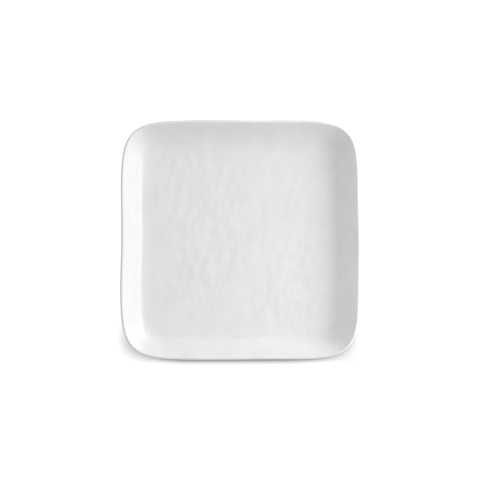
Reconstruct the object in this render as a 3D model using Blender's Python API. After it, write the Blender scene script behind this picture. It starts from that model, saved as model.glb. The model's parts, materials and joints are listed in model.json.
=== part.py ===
"""Square dessert plate: a flat well, sloping walls, a rounded rim and a low foot ring.

The plate is one pressed and fired clay body under a white glass glaze. The glaze is wiped off the
foot ring before the firing, so it comes out in two pieces: a coat over the well, the rim and the
outside, and a panel in the recess inside the foot. Metres, +Z up, +X to the right and +Y to the
back. The origin is the centre of the foot ring's bearing face.
"""

import math

import bmesh
import bpy
import numpy as np

# The glazed plate, across its flat sides and from the table to the top of its rim.
SIDE = 0.190
HEIGHT = 0.025

# The plan is a superellipse, and a higher exponent makes its corners squarer.
RIM_SQUARENESS = 6.5
WELL_SQUARENESS = 12.0

# The clay wall: its width in plan, how far its outer toe stands outside the inner one, its roundings.
WALL_RUN = 0.0166
TOE_STEP = 0.0025
LIP_RADIUS = 0.0008
WELL_FILLET = 0.0060
BASE_FILLET = 0.0080

# The clay floor, the flat shoulder under it, and the foot ring with its bare band under the glaze.
FLOOR_THICKNESS = 0.0042
SHOULDER = 0.0030
FOOT_HEIGHT = 0.0030
FOOT_WIDTH = 0.0045
FOOT_EDGE = 0.0006
BARE_BAND = 0.0005

# The glaze, its clearance from the clay, and its rounding where the foot meets the underside.
GLAZE_THICKNESS = 0.0004
GLAZE_GAP = 0.0002
GLAZED_FOOT_FILLET = 0.0005

# Facets: stations round the plate, how much rim a radian of turn counts as, and steps of the section.
STATIONS = 72
TURN_LENGTH = 0.060
FILLET_STEPS = 4
WALL_STEPS = 3
LIP_STEPS = 2
FOOT_STEPS = 2
TRACE_SAMPLES = 4000
SHARP_ANGLE = math.radians(50)

# Places that follow from the sizes above.
COAT = GLAZE_GAP + GLAZE_THICKNESS
RIM_HALF = SIDE / 2 - COAT
WELL_HALF = SIDE / 2 - WALL_RUN
BASE_HALF = WELL_HALF + TOE_STEP
FLOOR_TOP = FOOT_HEIGHT + FLOOR_THICKNESS
FOOT_FILLET = GLAZED_FOOT_FILLET + COAT
GLAZE_LINE = FOOT_EDGE + BARE_BAND
LIP_CENTRE = (RIM_HALF - LIP_RADIUS, HEIGHT - COAT - LIP_RADIUS)

DOWN = -math.pi / 2
UP = math.pi / 2


def slope_to_lip(corner, side):
    """Angle of the line from a corner of the section that touches the lip on its upper or lower side."""
    run = LIP_CENTRE[0] - corner[0]
    rise = LIP_CENTRE[1] - corner[1]
    return math.atan2(rise, run) + side * math.asin(LIP_RADIUS / math.hypot(run, rise))


# The walls' slopes inside and outside, and the foot ring, which stands in from the rounded base.
INNER_SLOPE = slope_to_lip((WELL_HALF, FLOOR_TOP), +1)
OUTER_SLOPE = slope_to_lip((BASE_HALF, FOOT_HEIGHT), -1)
WELL_FLAT = WELL_HALF - WELL_FILLET * math.tan(INNER_SLOPE / 2)
BASE_FLAT = BASE_HALF - BASE_FILLET * math.tan(OUTER_SLOPE / 2)
FOOT_OUTER = BASE_FLAT - SHOULDER - FOOT_FILLET
FOOT_INNER = FOOT_OUTER - FOOT_WIDTH


def clear_scene():
    """Removes whatever the scene holds, so that the model stands alone."""
    for obj in list(bpy.data.objects):
        bpy.data.objects.remove(obj, do_unlink=True)


def arc(centre, radius, start, end, steps, hollow=False):
    """Rows of an arc in the section: half side, height, and the direction the surface faces there."""
    turn = np.linspace(start, end, steps + 1)
    spoke = np.column_stack([np.cos(turn), np.sin(turn)])
    facing = -spoke if hollow else spoke
    return np.hstack([np.array(centre) + radius * spoke, facing])


def straight(start, end):
    """Rows strictly between two rows of the section, on the straight wall that joins them."""
    share = np.linspace(0.0, 1.0, WALL_STEPS + 1)[1:-1, None]
    return start + share * (end - start)


def lip():
    """The round lip, with a row along its very top and one at its widest."""
    inside = arc(LIP_CENTRE, LIP_RADIUS, UP + INNER_SLOPE, UP, LIP_STEPS)
    crown = arc(LIP_CENTRE, LIP_RADIUS, UP, 0.0, LIP_STEPS)
    outside = arc(LIP_CENTRE, LIP_RADIUS, 0.0, DOWN + OUTER_SLOPE, LIP_STEPS)
    return np.vstack([inside, crown[1:], outside[1:]])


def glazed_outside():
    """The clay's section from the flat of the well, over the rim and down to the foot's glaze line."""
    well_centre = (WELL_FLAT, FLOOR_TOP + WELL_FILLET)
    base_centre = (BASE_FLAT, FOOT_HEIGHT + BASE_FILLET)
    foot_centre = (FOOT_OUTER + FOOT_FILLET, FOOT_HEIGHT - FOOT_FILLET)
    toe = arc(well_centre, WELL_FILLET, DOWN, DOWN + INNER_SLOPE, FILLET_STEPS, hollow=True)
    rim = lip()
    base = arc(base_centre, BASE_FILLET, DOWN + OUTER_SLOPE, DOWN, FILLET_STEPS)
    foot = arc(foot_centre, FOOT_FILLET, UP, math.pi, FOOT_STEPS, hollow=True)
    glaze_line = [(FOOT_OUTER, GLAZE_LINE, 1.0, 0.0)]
    inner_wall = straight(toe[-1], rim[0])
    outer_wall = straight(rim[-1], base[0])
    return np.vstack([toe, inner_wall, rim, outer_wall, base, foot, glaze_line])


def bare_foot():
    """The clay's section round the foot's bearing face, below the glaze lines."""
    outer_centre = (FOOT_OUTER - FOOT_EDGE, FOOT_EDGE)
    inner_centre = (FOOT_INNER + FOOT_EDGE, FOOT_EDGE)
    outer_edge = arc(outer_centre, FOOT_EDGE, 0.0, DOWN, FOOT_STEPS)
    inner_edge = arc(inner_centre, FOOT_EDGE, DOWN, -math.pi, FOOT_STEPS)
    return np.vstack([outer_edge, inner_edge])


def foot_recess():
    """The clay's section from the foot's inner glaze line to the flat of the recess."""
    centre = (FOOT_INNER - FOOT_FILLET, FOOT_HEIGHT - FOOT_FILLET)
    glaze_line = [(FOOT_INNER, GLAZE_LINE, -1.0, 0.0)]
    fillet = arc(centre, FOOT_FILLET, 0.0, UP, FOOT_STEPS, hollow=True)
    return np.vstack([glaze_line, fillet])


def raised(section, distance):
    """Half sides and heights of a section moved out from the clay by a distance."""
    return section[:, :2] + distance * section[:, 2:]


def coat_section(section):
    """The section of a glaze over a stretch of the clay that starts at a flat: out over it and back under."""
    return np.vstack([raised(section, COAT), raised(section, GLAZE_GAP)[::-1]])


def plan_radius(angles, half_side):
    """Distance from the plate's axis to the outline of a given half side, at each polar angle."""
    squareness = np.interp(half_side, [WELL_HALF, RIM_HALF], [WELL_SQUARENESS, RIM_SQUARENESS])
    power = np.abs(np.cos(angles)) ** squareness + np.abs(np.sin(angles)) ** squareness
    return half_side / power ** (1 / squareness)


def station_angles():
    """Polar angles of the stations, closer together where the rim turns its corners."""
    angles = np.linspace(0.0, 2 * math.pi, TRACE_SAMPLES + 1)
    outline = plan_radius(angles, RIM_HALF) * np.exp(1j * angles)
    steps = np.diff(outline)
    turns = np.abs(np.angle(steps / np.roll(steps, 1)))
    travel = np.concatenate([[0.0], np.cumsum(np.abs(steps) + TURN_LENGTH * turns)])
    return np.interp(np.arange(STATIONS) * travel[-1] / STATIONS, travel, angles)


def carry_round(name, section, material):
    """A solid made by carrying a section round the plate, with a flat face closing each of its ends."""
    angles = station_angles()
    bm = bmesh.new()
    station = bm.verts.layers.int.new("station")

    def place(verts, half_side, height):
        radius = plan_radius(angles, half_side)
        for vert in verts:
            i = vert[station]
            vert.co = (radius[i] * math.cos(angles[i]), radius[i] * math.sin(angles[i]), height)

    ring = bmesh.ops.create_circle(bm, cap_ends=True, radius=1.0, segments=STATIONS)["verts"]
    for i, vert in enumerate(ring):
        vert[station] = i
    place(ring, *section[0])
    edges = list(bm.edges)
    for half_side, height in section[1:]:
        grown = bmesh.ops.extrude_edge_only(bm, edges=edges)["geom"]
        edges = [item for item in grown if isinstance(item, bmesh.types.BMEdge)]
        place([item for item in grown if isinstance(item, bmesh.types.BMVert)], half_side, height)
    bmesh.ops.contextual_create(bm, geom=edges)
    bmesh.ops.recalc_face_normals(bm, faces=bm.faces)

    # The walls twist a little at the corners, so clay and glaze are split along matching diagonals.
    quads = [face for face in bm.faces if len(face.verts) == 4]
    bmesh.ops.triangulate(bm, faces=quads, quad_method="SHORT_EDGE")

    mesh = bpy.data.meshes.new(name)
    bm.to_mesh(mesh)
    bm.free()
    mesh.materials.append(material)
    mesh.shade_smooth()
    mesh.set_sharp_from_angle(angle=SHARP_ANGLE)
    obj = bpy.data.objects.new(name, mesh)
    bpy.context.scene.collection.objects.link(obj)
    return obj


def finish(name, colour, roughness):
    """A plain non-metal material."""
    material = bpy.data.materials.new(name)
    material.use_nodes = True
    shader = material.node_tree.nodes["Principled BSDF"]
    shader.inputs["Base Color"].default_value = (*colour, 1.0)
    shader.inputs["Roughness"].default_value = roughness
    shader.inputs["Metallic"].default_value = 0.0
    return material


def build_clay_body():
    """The fired clay: floor, walls, rim and foot ring in one piece, bare only under the foot."""
    section = raised(np.vstack([glazed_outside(), bare_foot(), foot_recess()]), 0.0)
    return carry_round("clay_body", section, finish("bisque_clay", (0.74, 0.70, 0.63), 0.85))


def build_glaze_coat():
    """The glaze over the well, the rim and the outside, down to the foot's outer glaze line."""
    section = coat_section(glazed_outside())
    return carry_round("glaze_coat", section, finish("white_glaze", (0.82, 0.82, 0.81), 0.40))


def build_recess_glaze():
    """The panel of glaze inside the foot ring, on the underside of the floor."""
    section = coat_section(foot_recess()[::-1])
    return carry_round("recess_glaze", section, finish("recess_white_glaze", (0.82, 0.82, 0.81), 0.42))


def main():
    """Builds the plate's three pieces where they lie."""
    clear_scene()
    build_clay_body()
    build_glaze_coat()
    build_recess_glaze()


main()
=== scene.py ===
"""Looks of a square dessert plate: white glaze over fired clay, on a plain pale floor.

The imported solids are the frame. Finer meshes are laid over them with the same section and the same
plan, with the small unevenness of a plate that was pressed and wiped by hand. The file is laid out
as a Blender add-on and is run as a script. Metres, +Z up, +X to the right and +Y to the back.
"""

import json
import math

import bmesh
import bpy
import numpy as np
from bpy.props import FloatProperty, FloatVectorProperty, IntProperty, PointerProperty
from mathutils import Euler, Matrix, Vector, noise


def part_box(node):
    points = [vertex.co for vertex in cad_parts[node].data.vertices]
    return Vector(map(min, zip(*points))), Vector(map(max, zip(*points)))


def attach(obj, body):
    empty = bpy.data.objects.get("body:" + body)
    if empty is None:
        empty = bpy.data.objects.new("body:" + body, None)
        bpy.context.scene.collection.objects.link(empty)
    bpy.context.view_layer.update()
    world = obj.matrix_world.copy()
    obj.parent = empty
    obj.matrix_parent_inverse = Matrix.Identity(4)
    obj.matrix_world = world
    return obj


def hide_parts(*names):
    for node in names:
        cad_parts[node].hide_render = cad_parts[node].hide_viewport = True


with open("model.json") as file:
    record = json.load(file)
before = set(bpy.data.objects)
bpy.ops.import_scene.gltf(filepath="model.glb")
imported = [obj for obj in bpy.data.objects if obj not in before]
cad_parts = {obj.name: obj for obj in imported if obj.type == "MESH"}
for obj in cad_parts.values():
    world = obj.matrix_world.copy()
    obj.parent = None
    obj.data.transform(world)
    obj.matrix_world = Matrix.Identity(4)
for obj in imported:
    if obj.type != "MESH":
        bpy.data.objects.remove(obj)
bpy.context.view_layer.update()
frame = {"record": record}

bl_info = {
    "name": "Square Dessert Plate",
    "version": (1, 0, 0),
    "blender": (4, 5, 0),
    "location": "3D View > Sidebar > Plate",
    "description": "Builds the fine meshes, the finishes and the studio of a square glazed plate",
    "category": "Object",
}

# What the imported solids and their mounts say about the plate's places.
GLAZE_LOW, GLAZE_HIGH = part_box("glaze_coat")
CLAY_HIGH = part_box("clay_body")[1]
RECESS_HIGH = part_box("recess_glaze")[1]
MOUNT = {mount["name"]: mount["pos_m"] for mount in frame["record"]["mounts"]}

MM = 0.001

# Directions in the section, as angles from straight out.
UP = math.pi / 2
DOWN = -UP

# Directions in plan, as angles from the right.
RIGHT = 0.0
BACK = math.pi / 2
FRONT = -BACK

# Marks of the vertices that lie hidden in the plate, and of those that show and are pressed.
HIDDEN = 0
SHOWN = 1

# Where each slow wave of the rim starts.
WAVE_PHASE = {3: math.radians(84), 5: math.radians(49), 7: math.radians(-10)}

# The rim sags in as many places as this, and the phase of that wave in radians.
SAG_WAVES = 3
SAG_PHASE = 1.1

# Where the pressing left most dimples in the well: across, to the back, and how far the spot reaches.
# Between the spots it left the given share of them.
PRESSED_SPOTS = (
    (0.050, -0.036, 0.026), (-0.028, 0.028, 0.022), (-0.025, -0.028, 0.022),
    (-0.041, 0.058, 0.012), (0.016, -0.060, 0.014),
)
PRESSED_BETWEEN = 0.45

# The dimples' long way leans to the right at the back, and the noise's own lattice lies askew to them.
DIMPLE_LEAN = Euler((0.0, 0.0, math.radians(20)))
NOISE_TURN = Euler((0.6, 0.5, 0.4))

# Layers of dimples, how many times smaller each is than the one before, and the power it fades with.
DIMPLE_LAYERS = 2
LAYER_STEP = 2.0
LAYER_FADE = 1.0

# How far above the floor the dimples end, and how far below the lip the walls' waves fade out.
DIMPLE_TOP = 3 * MM
CALM_BELOW_LIP = 8 * MM

# Sizes of the walls' slow waves and of the bare foot's grit.
WALL_WAVE = 25 * MM
GRIT_SIZE = 0.67 * MM

# How quickly one side of the well passes into the next at a corner.
SIDE_POWER = 6

# How closely the even grid of a flat keeps to squares before it bends to its rounded border.
BORDER_POWER = 8

# The direction of a painted light gradient in the glaze's colour: darker toward the back left and lighter
# toward the front right, standing in for the softbox's light falling off across the plate.
PAINTED_LIGHT_DRIFT = (0.83, -0.56, 0.0)

# Clouds in the glaze: their size, their layers of finer ones, and the span of the noise that shows.
CLOUD_SIZE = 14 * MM
CLOUD_DETAIL = 3.0
CLOUD_SPAN = (0.35, 0.65)

# The glaze's skin like orange peel: its size, its layers of finer bumps, and how much of them shows.
PEEL_SIZE = 1.6 * MM
PEEL_DETAIL = 2.0
PEEL_STRENGTH = 0.05

# A glaze is a glass, and bends light as much as one.
GLASS_IOR = 1.5

# Grog in the bare clay: its size, its layers of finer grains, the span of the noise that shows as specks,
# and how much of its bumps shows.
GROG_SIZE = 0.9 * MM
GROG_DETAIL = 4.0
GROG_SPAN = (0.55, 0.75)
GROG_STRENGTH = 0.4

# Depth of the bumps in both finishes.
SKIN_DEPTH = 0.1 * MM

# Places of a Mix node's sockets for colours, which have the same names as its sockets for numbers.
FIRST_COLOUR = 6
SECOND_COLOUR = 7
MIXED_COLOUR = 2

# Steps of each stretch of the section at a fineness of one.
FLAT_STEPS = 2
RISE_STEPS = 1
TOE_STEPS = 7
WALL_STEPS = 4
LIP_STEPS = 5
BASE_STEPS = 3
SHOULDER_STEPS = 1
FOOT_STEPS = 2

# Steps of the round bead in which a glaze ends at the foot.
BEAD_STEPS = 6

# Fineness of what shows, and of what lies hidden.
FINE = 4
COARSE = 2

# Decimals of a length in the sidebar.
DECIMALS = 5

# The rim is traced in this many samples, and a radian of its turn counts as this much length.
TRACE_SAMPLES = 8000
TURN_LENGTH = 60 * MM

# Less than any step of a grid that reaches 1 each way.
TINY = 1e-6

# The sine of the elevation where the light of the studio's walls ends, and where its ceiling's begins.
WALL_LIGHT_TOP = 0.25
CEILING_BASE = 0.70

# The round of paper on the floor, and the width of the camera's film in millimetres.
PAPER_RADIUS = 4.0
PAPER_SIDES = 96
FILM_WIDTH = 36.0


def linear(hex_colour):
    """Linear RGB of an sRGB hex colour such as EAEAE8."""
    srgb = [int(hex_colour[i:i + 2], 16) / 255 for i in (0, 2, 4)]
    return [c / 12.92 if c <= 0.04045 else ((c + 0.055) / 1.055) ** 2.4 for c in srgb]


def length(name, description, default):
    """A length that a user would change."""
    return FloatProperty(
        name=name, description=description, default=default, unit="LENGTH", precision=DECIMALS)


def pair(name, description, default):
    """Two lengths that a user would change, across and to the back."""
    return FloatVectorProperty(
        name=name, description=description, default=default, size=2, subtype="TRANSLATION", unit="LENGTH",
        precision=DECIMALS)


def angle(name, description, degrees):
    """An angle that a user would change."""
    return FloatProperty(name=name, description=description, default=math.radians(degrees), subtype="ANGLE")


def fraction(name, description, default):
    """A share of a whole that a user would change."""
    return FloatProperty(
        name=name, description=description, default=default, min=0.0, max=1.0, subtype="FACTOR")


def amount(name, description, default):
    """A plain number, never below nothing, that a user would change."""
    return FloatProperty(name=name, description=description, default=default, min=0.0)


def colour(name, description, hex_colour):
    """A colour that a user would change, shown as sRGB and kept linear."""
    return FloatVectorProperty(
        name=name, description=description, default=linear(hex_colour), subtype="COLOR", min=0.0, max=1.0)


class PlateForm(bpy.types.PropertyGroup):
    """Sizes of the plate, the same ones that the solids have."""

    side: length("Side", "Across the glazed rim, flat to flat", GLAZE_HIGH.x - GLAZE_LOW.x)
    height: length("Height", "Table to the top of the glazed rim", GLAZE_HIGH.z)
    coat: length("Coat", "From the clay to the face of the glaze", GLAZE_HIGH.z - CLAY_HIGH.z)
    glaze: length("Glaze", "Thickness of the glaze itself", 0.0004)
    floor_top: length("Floor", "Height of the glazed floor of the well", MOUNT["well_floor"][2])
    wall_run: length("Wall Run", "Width of the wall in plan", 0.0166)
    toe_step: length("Toe Step", "How far the wall's outer toe stands outside the inner one", 0.0025)
    lip_radius: length("Lip Radius", "Rounding of the clay under the glazed lip", 0.0008)
    well_fillet: length("Well Fillet", "Rounding of the clay between floor and wall where crisp", 0.0060)
    base_fillet: length("Base Fillet", "Rounding of the clay between wall and underside", 0.0080)
    foot_middle: length("Foot Middle", "Half side of the foot's bearing face", MOUNT["foot_face"][0])
    foot_width: length("Foot Width", "Width of the bare foot ring", 0.0045)
    foot_edge: length("Foot Edge", "Rounding of the bare foot's edges", 0.0006)
    foot_fillet: length("Foot Fillet", "Rounding of the clay between foot and underside", 0.0011)
    glaze_line: length("Glaze Line", "Height on the foot where the wiping stopped the glaze", GLAZE_LOW.z)
    recess_top: length("Recess Top", "Height of the back of the recess glaze", RECESS_HIGH.z)
    rim_squareness: amount("Rim Squareness", "Exponent of the rim's superellipse", 6.5)
    well_squareness: amount("Well Squareness", "Exponent of the well's superellipse", 12.0)

    @property
    def gap(self):
        return self.coat - self.glaze

    @property
    def rim_half(self):
        return self.side / 2 - self.coat

    @property
    def well_half(self):
        return self.side / 2 - self.wall_run

    @property
    def base_half(self):
        return self.well_half + self.toe_step

    @property
    def clay_floor(self):
        return self.floor_top - self.coat

    @property
    def foot_height(self):
        return self.recess_top + self.gap

    @property
    def foot_outer(self):
        return self.foot_middle + self.foot_width / 2

    @property
    def foot_inner(self):
        return self.foot_middle - self.foot_width / 2

    @property
    def lip_centre(self):
        return (self.rim_half - self.lip_radius, self.height - self.coat - self.lip_radius)

    def slope_to_lip(self, corner, side):
        """Angle of the line from a corner of the section that touches the lip above or below it."""
        run = self.lip_centre[0] - corner[0]
        rise = self.lip_centre[1] - corner[1]
        return math.atan2(rise, run) + side * math.asin(self.lip_radius / math.hypot(run, rise))


class HandWork(bpy.types.PropertyGroup):
    """The unevenness of a plate that was pressed, dipped and wiped by hand."""

    rim_draw: length("Rim Draw", "How far the rim is drawn in to keep its waves inside the solids", 0.00052)
    well_grow: pair("Well Grow", "How much wider the well's half sides are than even ones", (0.0005, 0.0016))
    well_shift: pair("Well Shift", "How far the well stands off the middle of the rim", (0.0003, -0.0010))
    flat_half: length("Flat Half", "Half side of the floor that is flat all round", 0.0580)
    toe_sweep: length("Toe Sweep", "Radius of the slow rise of the floor before its toe", 0.0600)
    toe_lift: angle("Toe Lift", "Slope that the slow rise ends with", 7)
    front_calm: fraction("Front Calm", "How much of that slope is missing at the front", 0.9)
    back_fillet: length("Back Fillet", "How much more rounded the toe is at the back", 0.0200)
    corner_fillet: length("Corner Fillet", "How much more rounded the toe is in the corners", 0.0040)
    right_swell: length("Right Swell", "How far the right wall swells into the well above its toe", 0.00040)
    back_swell: length("Back Swell", "How far the back wall swells into the well above its toe", 0.00022)
    swell_edge: length("Swell Edge", "Width of the fine step where a swell begins", 0.0026)
    three_wave: length("Three Wave", "Height of the slow wave of three round the rim", 0.00024)
    five_wave: length("Five Wave", "Height of the slow wave of five round the rim", 0.00017)
    seven_wave: length("Seven Wave", "Height of the slow wave of seven round the rim", 0.00022)
    rim_dip: length("Rim Dip", "How far the rim sags between its high spots", 0.00030)
    ripple: length("Ripple", "Height of the dimples that the pressing left in the well", 0.00031)
    ripple_width: length("Ripple Width", "Size of a dimple across its long way", 0.0056)
    ripple_length: length("Ripple Length", "Size of a dimple along its long way", 0.0088)
    wall_ripple: length("Wall Ripple", "Height of the slower waves of the walls", 0.00010)
    grit: length("Grit", "Roughness of the bare clay under the foot", 0.00003)
    stations: IntProperty(
        name="Stations", description="Points round the plate, a multiple of eight", default=400, min=64)


class GlazeFinish(bpy.types.PropertyGroup):
    """White glass glaze, dipped and fired to a satin."""

    # Painted light: the tint runs from the darker colour at the back left to the lighter one at the front
    # right, standing in for the softbox's light falling off across the plate; the clouds mixed into it are
    # the glaze's own uneven tone.
    body: colour("Body", "Colour of the glaze where it is thin", "EFEFEF")
    shade_and_cloud_tone: colour("Pooled", "Colour where the glaze ran together", "E2E2E2")
    painted_drift_reach: length("Run Reach", "How far from the middle that change of colour goes", 0.0800)
    cloudiness: fraction("Cloudiness", "Share of the clouds in that change, beside its slow drift", 0.3)
    roughness: fraction("Roughness", "How far the fired glaze is from a mirror", 0.40)


class ClayFinish(bpy.types.PropertyGroup):
    """Fired pale clay, sponged and left bare under the foot."""

    body: colour("Body", "Colour of the fired clay", "DDD6CA")
    speck: colour("Speck", "Colour of the grog in it", "B9AD9B")
    roughness: fraction("Roughness", "How far the bare clay is from a mirror", 0.85)


class StudioLook(bpy.types.PropertyGroup):
    """The pale floor, the softbox, the sky and the camera."""

    floor: colour("Floor", "Colour of the paper that the plate stands on", "B8B8B8")
    glow: amount("Glow", "What the eye sees of the paper by itself, beside its lit colour", 0.90)
    # Painted shadow: these shape a patch under the plate, reaching past its front edge, and soft blobs
    # beside its front corners, where the paper's glow is taken away; the darkness there is partly painted
    # and partly the real shadow of the plate.
    shade_half: length("Shade Half", "Half side of the patch where the plate's shadow shows", 0.1026)
    shade_shift: pair("Shade Shift", "Where that patch lies beside the plate's middle", (0.0036, -0.0069))
    shade_fade: length("Shade Fade", "Width of the patch's soft edge", 0.0129)
    shade_power: amount("Shade Power", "How late the shade deepens within that edge", 4.0)
    left_place: pair("Left Place", "Middle of the soft shade at the left front corner", (-0.0785, -0.0795))
    left_reach: length("Left Reach", "How far the shade at the left front corner reaches", 0.0282)
    left_depth: fraction("Left Depth", "How much of the paper's glow that shade takes", 0.76)
    right_place: pair("Right Place", "Middle of the soft shade at the right front corner", (0.0883, -0.0934))
    right_reach: length("Right Reach", "How far the shade at the right front corner reaches", 0.0372)
    right_depth: fraction("Right Depth", "How much of the paper's glow that shade takes", 0.425)
    frame_width: length("Frame Width", "Width of the picture at the height of the rim", 0.3782)
    camera_distance: length("Camera Distance", "From the camera to the rim", 2.0)
    camera_lean: FloatVectorProperty(
        name="Camera Lean", description="Turn of the camera from straight down", size=3,
        default=(math.radians(-1.9), math.radians(-2.8), 0.0), subtype="EULER")
    camera_aim: pair("Camera Aim", "Where the picture's middle lies beside the rim's", (-0.00054, 0.00022))
    key: amount("Key", "Watts of the softbox at the right", 11.3)
    key_turn: angle("Key Turn", "Where the softbox hangs, from the right towards the back", 18)
    key_rise: angle("Key Rise", "How high the softbox hangs, as an angle from the table", 33)
    key_distance: length("Key Distance", "From the softbox to the plate's middle", 1.25)
    key_size: pair("Key Size", "Width and height of the softbox", (1.20, 0.70))
    low_sky: amount("Low Sky", "Light from the pale walls of the studio", 0.86)
    high_sky: amount("High Sky", "Light from its ceiling", 0.54)


def arc(centre, radius, start, end, steps, hollow=False):
    """Rows of an arc in the section: half side, height, and the direction the surface faces there.

    Each number may be one for all stations, or an array with one for each.
    """
    turn = np.linspace(start, end, steps + 1)
    across, up = np.cos(turn), np.sin(turn)
    facing = (-across, -up) if hollow else (across, up)
    return np.stack([centre[0] + radius * across, centre[1] + radius * up, *facing], axis=1)


def straight(start, end, steps):
    """Rows strictly between two rows of the section, on the straight that joins them."""
    return np.linspace(start, end, steps + 1)[1:-1]


def raised(rows, distance):
    """Half sides and heights of a section moved out from the clay by a distance."""
    return rows[:, :2] + distance * rows[:, 2:]


def smooth(share):
    """A share held between 0 and 1, with a soft start and a soft end."""
    held = np.clip(share, 0.0, 1.0)
    return held * held * (3 - 2 * held)


def side_share(angles, middle):
    """How much each station belongs to the side of the plate whose middle is at an angle."""
    along = np.clip(np.cos(angles - middle), 0.0, 1.0) ** SIDE_POWER
    return along / (along + np.abs(np.sin(angles - middle)) ** SIDE_POWER)


def toe_rows(form, hand, angles, slope, fineness):
    """The clay's section from the flat of the well up to its wall: a slow rise, then a fillet."""
    back = side_share(angles, BACK)
    front = side_share(angles, FRONT)
    corner = np.sin(2 * angles) ** SIDE_POWER
    fillet = form.well_fillet + back * hand.back_fillet + corner * hand.corner_fillet
    lift = hand.toe_lift * (1 - hand.front_calm * front)
    sweep = hand.toe_sweep
    rise = sweep * (1 - np.cos(lift)) + fillet * (np.cos(lift) - math.cos(slope))
    run = sweep * np.sin(lift) + fillet * (math.sin(slope) - np.sin(lift))
    flat_end = form.well_half + rise / math.tan(slope) - run
    centre = (flat_end, form.clay_floor + sweep)
    rising = arc(centre, sweep, DOWN, DOWN + lift, RISE_STEPS * fineness, hollow=True)
    closer = (centre[0] + (sweep - fillet) * np.sin(lift), centre[1] - (sweep - fillet) * np.cos(lift))
    turning = arc(closer, fillet, DOWN + lift, DOWN + slope, TOE_STEPS * fineness, hollow=True)
    flat = np.stack([np.full_like(angles, value) for value in (hand.flat_half, form.clay_floor, 0.0, 1.0)])
    border = straight(flat, rising[0], FLAT_STEPS * fineness)
    return np.concatenate([flat[None], border, rising, turning[1:]])


def outside_rows(form, hand, angles, fineness):
    """The clay's section at each station, from the flat of the well to the foot's outer glaze line."""
    inner_slope = form.slope_to_lip((form.well_half, form.clay_floor), +1)
    outer_slope = form.slope_to_lip((form.base_half, form.foot_height), -1)
    base_flat = form.base_half - form.base_fillet * math.tan(outer_slope / 2)
    toe = toe_rows(form, hand, angles, inner_slope, fineness)
    lip = arc(form.lip_centre, form.lip_radius, UP + inner_slope, DOWN + outer_slope, LIP_STEPS * fineness)
    base = arc((base_flat, form.foot_height + form.base_fillet), form.base_fillet,
               DOWN + outer_slope, DOWN, BASE_STEPS * fineness)
    foot = arc((form.foot_outer + form.foot_fillet, form.foot_height - form.foot_fillet), form.foot_fillet,
               UP, math.pi, FOOT_STEPS * fineness, hollow=True)
    glaze_line = np.array([[form.foot_outer, form.glaze_line + form.glaze / 2, 1.0, 0.0]])
    outer_wall = straight(lip[-1], base[0], WALL_STEPS * fineness)
    shoulder = straight(base[-1], foot[0], SHOULDER_STEPS * fineness)
    rest = np.concatenate([lip, outer_wall, base, shoulder, foot, glaze_line])
    rest = np.repeat(rest[..., None], len(angles), axis=2)
    inside = np.concatenate([toe, straight(toe[-1], rest[0], WALL_STEPS * fineness)])
    begun = smooth((inside[:, 0] - form.well_half + hand.swell_edge / 2) / hand.swell_edge)
    fading = smooth((form.rim_half - inside[:, 0]) / (form.rim_half - form.well_half))
    depth = hand.right_swell * side_share(angles, RIGHT) + hand.back_swell * side_share(angles, BACK)
    inside[:, :2] += (depth * begun * fading)[:, None] * inside[:, 2:]
    return np.concatenate([inside, rest])


def recess_rows(form, fineness):
    """The clay's section from the flat of the recess to the foot's inner glaze line."""
    centre = (form.foot_inner - form.foot_fillet, form.foot_height - form.foot_fillet)
    fillet = arc(centre, form.foot_fillet, UP, 0.0, FOOT_STEPS * fineness, hollow=True)
    glaze_line = np.array([[form.foot_inner, form.glaze_line + form.glaze / 2, -1.0, 0.0]])
    return np.vstack([fillet, glaze_line])


def foot_rows(form, fineness):
    """The clay's section round the foot's bearing face, below the glaze lines."""
    outer_centre = (form.foot_outer - form.foot_edge, form.foot_edge)
    inner_centre = (form.foot_inner + form.foot_edge, form.foot_edge)
    outer = arc(outer_centre, form.foot_edge, 0.0, DOWN, FOOT_STEPS * fineness)
    inner = arc(inner_centre, form.foot_edge, DOWN, -math.pi, FOOT_STEPS * fineness)
    return np.vstack([outer, straight(outer[-1], inner[0], FLAT_STEPS * fineness), inner])


def superellipse(angles, half_side, squareness):
    """Distance from the axis to an even outline with round corners, at each polar angle."""
    power = np.abs(np.cos(angles)) ** squareness + np.abs(np.sin(angles)) ** squareness
    return half_side / power ** (1 / squareness)


def plan_radius(form, hand, angles, half_side):
    """Distance from the axis to the outline of a given half side, with the rim's slow waves in it."""
    squareness = np.interp(
        half_side, [form.well_half, form.rim_half], [form.well_squareness, form.rim_squareness])
    heights = {3: hand.three_wave, 5: hand.five_wave, 7: hand.seven_wave}
    waves = sum(height * np.cos(n * angles + WAVE_PHASE[n]) for n, height in heights.items())
    share = (half_side / form.rim_half) ** 2
    return superellipse(angles, half_side, squareness) + share * (waves - hand.rim_draw)


def outline(form, hand, angles, half_side):
    """Plan points of the outline of a given half side, with the well's own stretch and shift."""
    radius = plan_radius(form, hand, angles, half_side)
    share = np.clip((form.rim_half - half_side) / (form.rim_half - form.well_half), 0.0, 1.0)
    x = radius * np.cos(angles) * (1 + share * hand.well_grow[0] / form.well_half)
    y = radius * np.sin(angles) * (1 + share * hand.well_grow[1] / form.well_half)
    return x + share * hand.well_shift[0], y + share * hand.well_shift[1]


def station_angles(form, hand):
    """Polar angles of the stations, closer together where the rim turns its corners."""
    angles = np.linspace(0.0, 2 * math.pi, TRACE_SAMPLES + 1)
    rim = superellipse(angles, form.rim_half, form.rim_squareness) * np.exp(1j * angles)
    steps = np.diff(rim)
    turns = np.abs(np.angle(steps / np.roll(steps, 1)))
    travel = np.concatenate([[0.0], np.cumsum(np.abs(steps) + TURN_LENGTH * turns)])
    return np.interp(np.arange(hand.stations) * travel[-1] / hand.stations, travel, angles)


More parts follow.
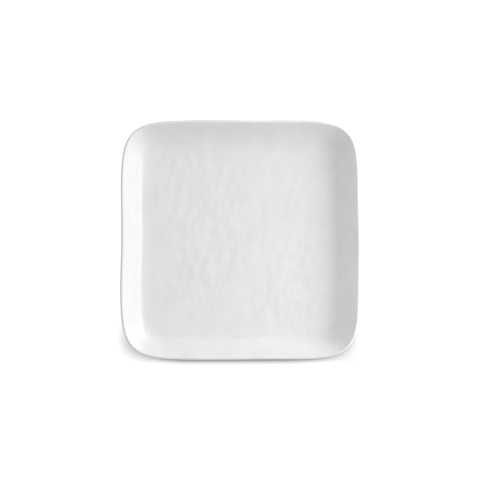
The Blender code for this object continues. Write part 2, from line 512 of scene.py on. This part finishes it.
class Sweep:
    """Carries rows of the section round the plate, ring by ring, in one mesh."""

    def __init__(self, form, hand):
        self.form = form
        self.hand = hand
        self.angles = station_angles(form, hand)
        self.bm = bmesh.new()
        self.station = self.bm.verts.layers.int.new("station")
        self.face = self.bm.verts.layers.int.new("face")
        self.edges = []

    def outside(self, distance, fineness):
        """Rows at each station of the clay's glazed outside, moved out from it by a distance."""
        return raised(outside_rows(self.form, self.hand, self.angles, fineness), distance)

    def sag(self, angles, height):
        """How far a point of that height hangs below the even rim."""
        wave = (1 + np.cos(SAG_WAVES * angles + SAG_PHASE)) / 2
        return self.hand.rim_dip * wave * (height / self.form.height) ** 2

    def place(self, verts, half_side, height, face):
        """Puts a ring of vertices at a half side and a height, each one number or one for each station."""
        x, y = outline(self.form, self.hand, self.angles, half_side)
        z = height - self.sag(self.angles, height)
        for vert in verts:
            i = vert[self.station]
            vert.co = (x[i], y[i], z[i])
            vert[self.face] = face

    def start_flat(self, half_side, height, face):
        """Starts with one flat face."""
        ring = bmesh.ops.create_circle(
            self.bm, cap_ends=True, radius=1.0, segments=self.hand.stations)["verts"]
        for i, vert in enumerate(ring):
            vert[self.station] = i
        self.edges = list(self.bm.edges)
        self.place(ring, half_side, height, face)

    def start_grid(self, half_side, height, face):
        """Starts with a flat of small square faces, bent at its border to meet each station."""
        cells = self.hand.stations // 4
        grid = bmesh.ops.create_grid(self.bm, x_segments=cells, y_segments=cells, size=1.0)["verts"]
        self.edges = [edge for edge in self.bm.edges if edge.is_boundary]
        border = {vert for edge in self.edges for vert in edge.verts}
        wrapped = np.append(self.angles, 2 * math.pi)
        for vert in grid:
            x, y = vert.co.x, vert.co.y
            reach = max(abs(x), abs(y), TINY)
            lap = self.lap(x / reach, y / reach)
            turn = np.interp(lap * self.hand.stations, np.arange(self.hand.stations + 1), wrapped)
            even = Vector((x * half_side, y * half_side, height))
            bent = Vector((*outline(self.form, self.hand, turn, half_side * reach), height))
            vert.co = even.lerp(bent, reach ** BORDER_POWER)
            vert[self.face] = face
            if vert in border:
                vert[self.station] = round(lap * self.hand.stations) % self.hand.stations
        self.place(border, half_side, height, face)

    @staticmethod
    def lap(x, y):
        """Share of the way round a square that reaches 1 each way, from the middle of its right side.

        Its border is 8 long, and the middles of its sides lie 2 apart along it.
        """
        if x > 1 - TINY:
            return (y / 8) % 1.0
        if y > 1 - TINY:
            return (2 - x) / 8
        if x < -1 + TINY:
            return (4 - y) / 8
        return (6 + x) / 8

    def carry(self, rows, face):
        """Extrudes the open border along the rows."""
        for half_side, height in rows:
            grown = bmesh.ops.extrude_edge_only(self.bm, edges=self.edges)["geom"]
            self.edges = [item for item in grown if isinstance(item, bmesh.types.BMEdge)]
            self.place(
                [item for item in grown if isinstance(item, bmesh.types.BMVert)], half_side, height, face)

    def close(self):
        """Closes the open border with one flat face and turns every face outwards."""
        bmesh.ops.contextual_create(self.bm, geom=self.edges)
        bmesh.ops.recalc_face_normals(self.bm, faces=self.bm.faces)
        self.bm.normal_update()

    def press(self, face, height_at):
        """Moves the vertices of one face of the piece along their normals."""
        moves = [
            (vert, vert.normal * height_at(vert.co)) for vert in self.bm.verts if vert[self.face] == face]
        for vert, move in moves:
            vert.co += move

    def finish(self, name, material, slot, node):
        """Makes the object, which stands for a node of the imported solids."""
        mesh = bpy.data.meshes.new(name)
        self.bm.to_mesh(mesh)
        self.bm.free()
        mesh.materials.append(material)
        mesh.shade_smooth()
        piece = bpy.data.objects.new(name, mesh)
        bpy.context.scene.collection.objects.link(piece)
        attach(piece, "root")
        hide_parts(node)
        return piece


def pressed(point):
    """How strongly the pressing marked the well at a point: full in the middle of a spot, less between."""
    spots = [
        math.exp(-((point.x - x) ** 2 + (point.y - y) ** 2) / reach ** 2) for x, y, reach in PRESSED_SPOTS]
    return min(1.0, PRESSED_BETWEEN + sum(spots))


def dimples(form, hand):
    """Height of the well's dimples and the walls' slower waves at a point, dying out towards the lip."""
    def height_at(point):
        cell = point.copy()
        cell.rotate(DIMPLE_LEAN)
        cell = Vector((cell.x / hand.ripple_width, cell.y / hand.ripple_length, cell.z / hand.ripple_length))
        cell.rotate(NOISE_TURN)
        fine = noise.fractal(cell, LAYER_FADE, LAYER_STEP, DIMPLE_LAYERS)
        slow = noise.noise(point / WALL_WAVE)
        floor = min(1.0, max(0.0, (form.floor_top + DIMPLE_TOP - point.z) / DIMPLE_TOP))
        calm = min(1.0, max(0.0, (form.height - form.coat - point.z) / CALM_BELOW_LIP))
        return floor * hand.ripple * pressed(point) * fine + calm * hand.wall_ripple * slow
    return height_at


def add(tree, kind, inputs=None, **settings):
    """A node with its settings, and with inputs, by name or number, set to values or linked to sockets."""
    node = tree.nodes.new(kind)
    for key, value in settings.items():
        setattr(node, key, value)
    for key, value in (inputs or {}).items():
        if isinstance(value, bpy.types.NodeSocket):
            tree.links.new(value, node.inputs[key])
        else:
            node.inputs[key].default_value = value
    return node


def blank_material(name):
    """A material with only its output, and the socket that the surface goes into."""
    material = bpy.data.materials.new(name)
    material.use_nodes = True
    material.node_tree.nodes.clear()
    output = material.node_tree.nodes.new("ShaderNodeOutputMaterial")
    return material, material.node_tree, output.inputs["Surface"]


def per_metre(size):
    """Texture scale at which one cell of a pattern is as large as a real size in metres."""
    return 1.0 / size


def seen_ray(tree):
    """A socket that is 1 on rays that show the background to the eye.

    They come to it straight, from a mirror or through glass.
    """
    path = add(tree, "ShaderNodeLightPath").outputs
    seen = path["Is Camera Ray"]
    for kind in ("Is Glossy Ray", "Is Transmission Ray"):
        seen = add(tree, "ShaderNodeMath", {0: seen, 1: path[kind]}, operation="MAXIMUM").outputs[0]
    return seen


def white_glaze(finish):
    """White glass glaze: bright, with a satin sheen, faint clouds, a skin like orange peel and a painted
    light gradient, darker toward the back left and lighter toward the front right.
    """
    material, tree, surface = blank_material("white_glass_glaze")
    place = add(tree, "ShaderNodeTexCoord").outputs["Object"]
    clouds = add(tree, "ShaderNodeTexNoise", {
        "Vector": place, "Scale": per_metre(CLOUD_SIZE), "Detail": CLOUD_DETAIL})
    cloud = add(tree, "ShaderNodeMapRange", {
        "Value": clouds.outputs["Fac"], "From Min": CLOUD_SPAN[0], "From Max": CLOUD_SPAN[1]})
    # Painted light: a drift from darker at the back left to lighter at the front right, in place of the
    # softbox's light falling off.
    run = add(tree, "ShaderNodeVectorMath", {0: place, 1: PAINTED_LIGHT_DRIFT}, operation="DOT_PRODUCT")
    drift = add(tree, "ShaderNodeMapRange", {
        "Value": run.outputs["Value"], "From Min": -finish.painted_drift_reach, "From Max": finish.painted_drift_reach})
    share = add(
        tree, "ShaderNodeMix",
        {"Factor": finish.cloudiness, "A": drift.outputs["Result"], "B": cloud.outputs["Result"]})
    tint = add(
        tree, "ShaderNodeMix",
        {"Factor": share.outputs[0],
         FIRST_COLOUR: (*finish.shade_and_cloud_tone, 1.0), SECOND_COLOUR: (*finish.body, 1.0)},
        data_type="RGBA")
    peel = add(tree, "ShaderNodeTexNoise", {
        "Vector": place, "Scale": per_metre(PEEL_SIZE), "Detail": PEEL_DETAIL})
    bump = add(tree, "ShaderNodeBump", {
        "Height": peel.outputs["Fac"], "Strength": PEEL_STRENGTH, "Distance": SKIN_DEPTH})
    shader = add(tree, "ShaderNodeBsdfPrincipled", {
        "Base Color": tint.outputs[MIXED_COLOUR], "Roughness": finish.roughness, "IOR": GLASS_IOR,
        "Normal": bump.outputs["Normal"]})
    tree.links.new(shader.outputs["BSDF"], surface)
    return material


def bare_clay(finish):
    """Fired clay, sponged: chalky and matte, with grog specks and a fine grit.

    Real grog is too fine to show here, so its specks are drawn about twice as coarse.
    """
    material, tree, surface = blank_material("sponged_bisque_clay")
    place = add(tree, "ShaderNodeTexCoord").outputs["Object"]
    grog = add(tree, "ShaderNodeTexNoise", {
        "Vector": place, "Scale": per_metre(GROG_SIZE), "Detail": GROG_DETAIL})
    share = add(tree, "ShaderNodeMapRange", {
        "Value": grog.outputs["Fac"], "From Min": GROG_SPAN[0], "From Max": GROG_SPAN[1]})
    tint = add(
        tree, "ShaderNodeMix",
        {"Factor": share.outputs["Result"],
         FIRST_COLOUR: (*finish.body, 1.0), SECOND_COLOUR: (*finish.speck, 1.0)},
        data_type="RGBA")
    bump = add(tree, "ShaderNodeBump", {
        "Height": grog.outputs["Fac"], "Strength": GROG_STRENGTH, "Distance": SKIN_DEPTH})
    shader = add(tree, "ShaderNodeBsdfPrincipled", {
        "Base Color": tint.outputs[MIXED_COLOUR], "Roughness": finish.roughness,
        "Normal": bump.outputs["Normal"]})
    tree.links.new(shader.outputs["BSDF"], surface)
    return material


class PLATE_OT_glaze_coat(bpy.types.Operator):
    """Lays the glaze over the well, the rim and the outside"""

    bl_idname = "plate.glaze_coat"
    bl_label = "Glaze Coat"

    def execute(self, context):
        form, hand = context.scene.plate_form, context.scene.plate_hand
        sweep = Sweep(form, hand)
        face = sweep.outside(form.coat, FINE)
        back = sweep.outside(form.gap, COARSE)[::-1]
        bead_centre = (form.foot_outer + form.gap + form.glaze / 2, form.glaze_line + form.glaze / 2)
        bead = arc(bead_centre, form.glaze / 2, 0.0, -math.pi, BEAD_STEPS)[1:-1, :2]
        # The flat of the well is the same at every station, so the first one's numbers do for all.
        sweep.start_grid(*face[0, :, 0], SHOWN)
        sweep.carry(face[1:], SHOWN)
        sweep.carry(bead, SHOWN)
        sweep.carry(back, HIDDEN)
        sweep.close()
        sweep.press(SHOWN, dimples(form, hand))
        glaze = white_glaze(context.scene.plate_glaze)
        sweep.finish("glaze_coat_skin", glaze, "white_glaze", "glaze_coat")
        return {"FINISHED"}


class PLATE_OT_clay_body(bpy.types.Operator):
    """Makes the fired clay, which shows only at the bare foot"""

    bl_idname = "plate.clay_body"
    bl_label = "Clay Body"

    def execute(self, context):
        form, hand = context.scene.plate_form, context.scene.plate_hand
        sweep = Sweep(form, hand)
        outside = sweep.outside(0.0, COARSE)
        foot = raised(foot_rows(form, FINE), 0.0)
        recess = raised(recess_rows(form, COARSE), 0.0)[::-1]
        sweep.start_flat(*outside[0], HIDDEN)
        sweep.carry(outside[1:], HIDDEN)
        sweep.carry(foot, SHOWN)
        sweep.carry(recess, HIDDEN)
        sweep.close()
        sweep.press(SHOWN, lambda point: -abs(noise.noise(point / GRIT_SIZE)) * hand.grit)
        sweep.finish("clay_body_foot", bare_clay(context.scene.plate_clay), "bisque_clay", "clay_body")
        return {"FINISHED"}


class PLATE_OT_recess_glaze(bpy.types.Operator):
    """Lays the panel of glaze inside the foot ring"""

    bl_idname = "plate.recess_glaze"
    bl_label = "Recess Glaze"

    def execute(self, context):
        form, hand = context.scene.plate_form, context.scene.plate_hand
        sweep = Sweep(form, hand)
        face = raised(recess_rows(form, FINE), form.coat)
        back = raised(recess_rows(form, COARSE), form.gap)[::-1]
        bead_centre = (form.foot_inner - form.gap - form.glaze / 2, form.glaze_line + form.glaze / 2)
        bead = arc(bead_centre, form.glaze / 2, -math.pi, 0.0, BEAD_STEPS)[1:-1, :2]
        sweep.start_grid(*face[0], SHOWN)
        sweep.carry(face[1:], SHOWN)
        sweep.carry(bead, SHOWN)
        sweep.carry(back, HIDDEN)
        sweep.close()
        sweep.press(SHOWN, dimples(form, hand))
        glaze = white_glaze(context.scene.plate_glaze)
        sweep.finish("recess_glaze_skin", glaze, "white_glaze", "recess_glaze")
        return {"FINISHED"}


class PLATE_OT_studio(bpy.types.Operator):
    """Sets up the pale floor, the softbox, the sky and the camera"""

    bl_idname = "plate.studio"
    bl_label = "Studio"

    def execute(self, context):
        scene, look, form = context.scene, context.scene.plate_studio, context.scene.plate_form
        scene.view_settings.view_transform = "Standard"
        self.lay_floor(scene, look, form)
        self.light_sky(scene, look)
        self.hang_softbox(scene, look)
        self.point_camera(scene, look, form)
        return {"FINISHED"}

    def lay_floor(self, scene, look, form):
        """Lays a round of matte paper, which looks burnt out except in painted patches of shadow under the
        plate and beside its front corners, where its glow is taken away so that its grey lit colour and the
        plate's real shadow show.
        """
        bm = bmesh.new()
        bmesh.ops.create_circle(bm, cap_ends=True, radius=PAPER_RADIUS, segments=PAPER_SIDES)
        mesh = bpy.data.meshes.new("paper_floor")
        bm.to_mesh(mesh)
        bm.free()
        material, tree, surface = blank_material("matte_white_paper")
        place = add(tree, "ShaderNodeTexCoord").outputs["Object"]
        shares = (
            self.clear_of_painted_rim_shadow(tree, place, look, form.rim_squareness),
            self.clear_of_painted_corner_shadow(tree, place, look.left_place, look.left_reach, look.left_depth),
            self.clear_of_painted_corner_shadow(tree, place, look.right_place, look.right_reach, look.right_depth),
            seen_ray(tree),
        )
        glow = look.glow
        for share in shares:
            glow = add(tree, "ShaderNodeMath", {0: share, 1: glow}, operation="MULTIPLY").outputs[0]
        emit = add(tree, "ShaderNodeEmission", {"Strength": glow})
        matte = add(tree, "ShaderNodeBsdfDiffuse", {"Color": (*look.floor, 1.0)})
        both = add(tree, "ShaderNodeAddShader", {0: emit.outputs[0], 1: matte.outputs[0]})
        tree.links.new(both.outputs[0], surface)
        mesh.materials.append(material)
        floor = bpy.data.objects.new("paper_floor", mesh)
        scene.collection.objects.link(floor)

    def clear_of_painted_rim_shadow(self, tree, place, look, squareness):
        """A socket that rises from 0 under the plate to 1 past the soft edge of a painted patch of shadow,
        shifted to the front right of the plate's middle.
        """
        middle = (*look.shade_shift, 0.0)
        offset = add(tree, "ShaderNodeVectorMath", {0: place, 1: middle}, operation="SUBTRACT")
        reach = add(tree, "ShaderNodeVectorMath", {0: offset.outputs[0]}, operation="ABSOLUTE")
        sides = add(tree, "ShaderNodeSeparateXYZ", {0: reach.outputs[0]}).outputs
        powers = [
            add(tree, "ShaderNodeMath", {0: sides[axis], 1: squareness}, operation="POWER").outputs[0]
            for axis in "XY"]
        total = add(tree, "ShaderNodeMath", {0: powers[0], 1: powers[1]}, operation="ADD")
        half = add(tree, "ShaderNodeMath", {0: total.outputs[0], 1: 1 / squareness}, operation="POWER")
        full = look.shade_half - look.shade_fade
        under = add(tree, "ShaderNodeMapRange", {
            "Value": half.outputs[0], "From Min": look.shade_half, "From Max": full})
        shade = add(
            tree, "ShaderNodeMath", {0: under.outputs["Result"], 1: look.shade_power}, operation="POWER")
        return add(tree, "ShaderNodeMath", {0: 1.0, 1: shade.outputs[0]}, operation="SUBTRACT").outputs[0]

    def clear_of_painted_corner_shadow(self, tree, place, middle, reach, depth):
        """A socket that dips below 1 in a painted soft shadow beside a front corner."""
        away = add(tree, "ShaderNodeVectorMath", {0: place, 1: (*middle, 0.0)}, operation="DISTANCE")
        clear = add(
            tree, "ShaderNodeMapRange",
            {"Value": away.outputs["Value"], "From Max": reach, "To Min": 1 - depth},
            interpolation_type="SMOOTHSTEP")
        return clear.outputs["Result"]

    def light_sky(self, scene, look):
        """Lights the plate from the studio's pale walls and ceiling, and shows the eye plain white."""
        world = bpy.data.worlds.new("studio_sky")
        world.use_nodes = True
        scene.world = world
        tree = world.node_tree
        direction = add(tree, "ShaderNodeTexCoord").outputs["Generated"]
        upward = add(tree, "ShaderNodeSeparateXYZ", {0: direction}).outputs["Z"]
        sky = add(
            tree, "ShaderNodeMapRange",
            {"Value": upward, "From Min": WALL_LIGHT_TOP, "From Max": CEILING_BASE,
             "To Min": look.low_sky, "To Max": look.high_sky},
            interpolation_type="SMOOTHSTEP")
        level = add(tree, "ShaderNodeMix", {"Factor": seen_ray(tree), "A": sky.outputs["Result"], "B": 1.0})
        back = tree.nodes["Background"]
        tree.links.new(level.outputs["Result"], back.inputs["Strength"])
        back.inputs["Color"].default_value = (1.0, 1.0, 1.0, 1.0)

    def hang_softbox(self, scene, look):
        """Aims the softbox at the plate's middle."""
        aim = Vector((
            math.cos(look.key_turn) * math.cos(look.key_rise),
            math.sin(look.key_turn) * math.cos(look.key_rise),
            math.sin(look.key_rise)))
        lamp = bpy.data.lights.new("key_softbox", "AREA")
        lamp.shape = "RECTANGLE"
        lamp.size, lamp.size_y = look.key_size
        lamp.energy = look.key
        box = bpy.data.objects.new("key_softbox", lamp)
        box.location = aim * look.key_distance
        box.rotation_euler = (-aim).to_track_quat("-Z", "Y").to_euler()
        scene.collection.objects.link(box)

    def point_camera(self, scene, look, form):
        """Points the camera down at the rim, with the lean of the photograph's view."""
        camera = bpy.data.cameras.new("camera")
        camera.sensor_width = FILM_WIDTH
        camera.lens = camera.sensor_width * look.camera_distance / look.frame_width
        holder = bpy.data.objects.new("camera", camera)
        lean = Euler(look.camera_lean)
        back = lean.to_matrix() @ Vector((0.0, 0.0, look.camera_distance))
        holder.location = Vector((*look.camera_aim, form.height)) + back
        holder.rotation_euler = lean
        scene.collection.objects.link(holder)
        scene.camera = holder


class PLATE_PT_sidebar(bpy.types.Panel):
    """Lists the plate's pieces and its studio"""

    bl_idname = "PLATE_PT_sidebar"
    bl_label = "Square Dessert Plate"
    bl_space_type = "VIEW_3D"
    bl_region_type = "UI"
    bl_category = "Plate"

    def draw(self, context):
        for name in STEPS:
            self.layout.operator(name)


STEPS = ("plate.clay_body", "plate.glaze_coat", "plate.recess_glaze", "plate.studio")
GROUPS = {
    "plate_form": PlateForm,
    "plate_hand": HandWork,
    "plate_glaze": GlazeFinish,
    "plate_clay": ClayFinish,
    "plate_studio": StudioLook,
}
CLASSES = (
    *GROUPS.values(), PLATE_OT_clay_body, PLATE_OT_glaze_coat, PLATE_OT_recess_glaze, PLATE_OT_studio,
    PLATE_PT_sidebar,
)


def register():
    for cls in CLASSES:
        bpy.utils.register_class(cls)
    for name, group in GROUPS.items():
        setattr(bpy.types.Scene, name, PointerProperty(type=group))


def unregister():
    for name in GROUPS:
        delattr(bpy.types.Scene, name)
    for cls in reversed(CLASSES):
        bpy.utils.unregister_class(cls)


def main():
    """Builds the plate and its studio."""
    register()
    bpy.ops.plate.clay_body()
    bpy.ops.plate.glaze_coat()
    bpy.ops.plate.recess_glaze()
    bpy.ops.plate.studio()


if __name__ == "__main__":
    main()
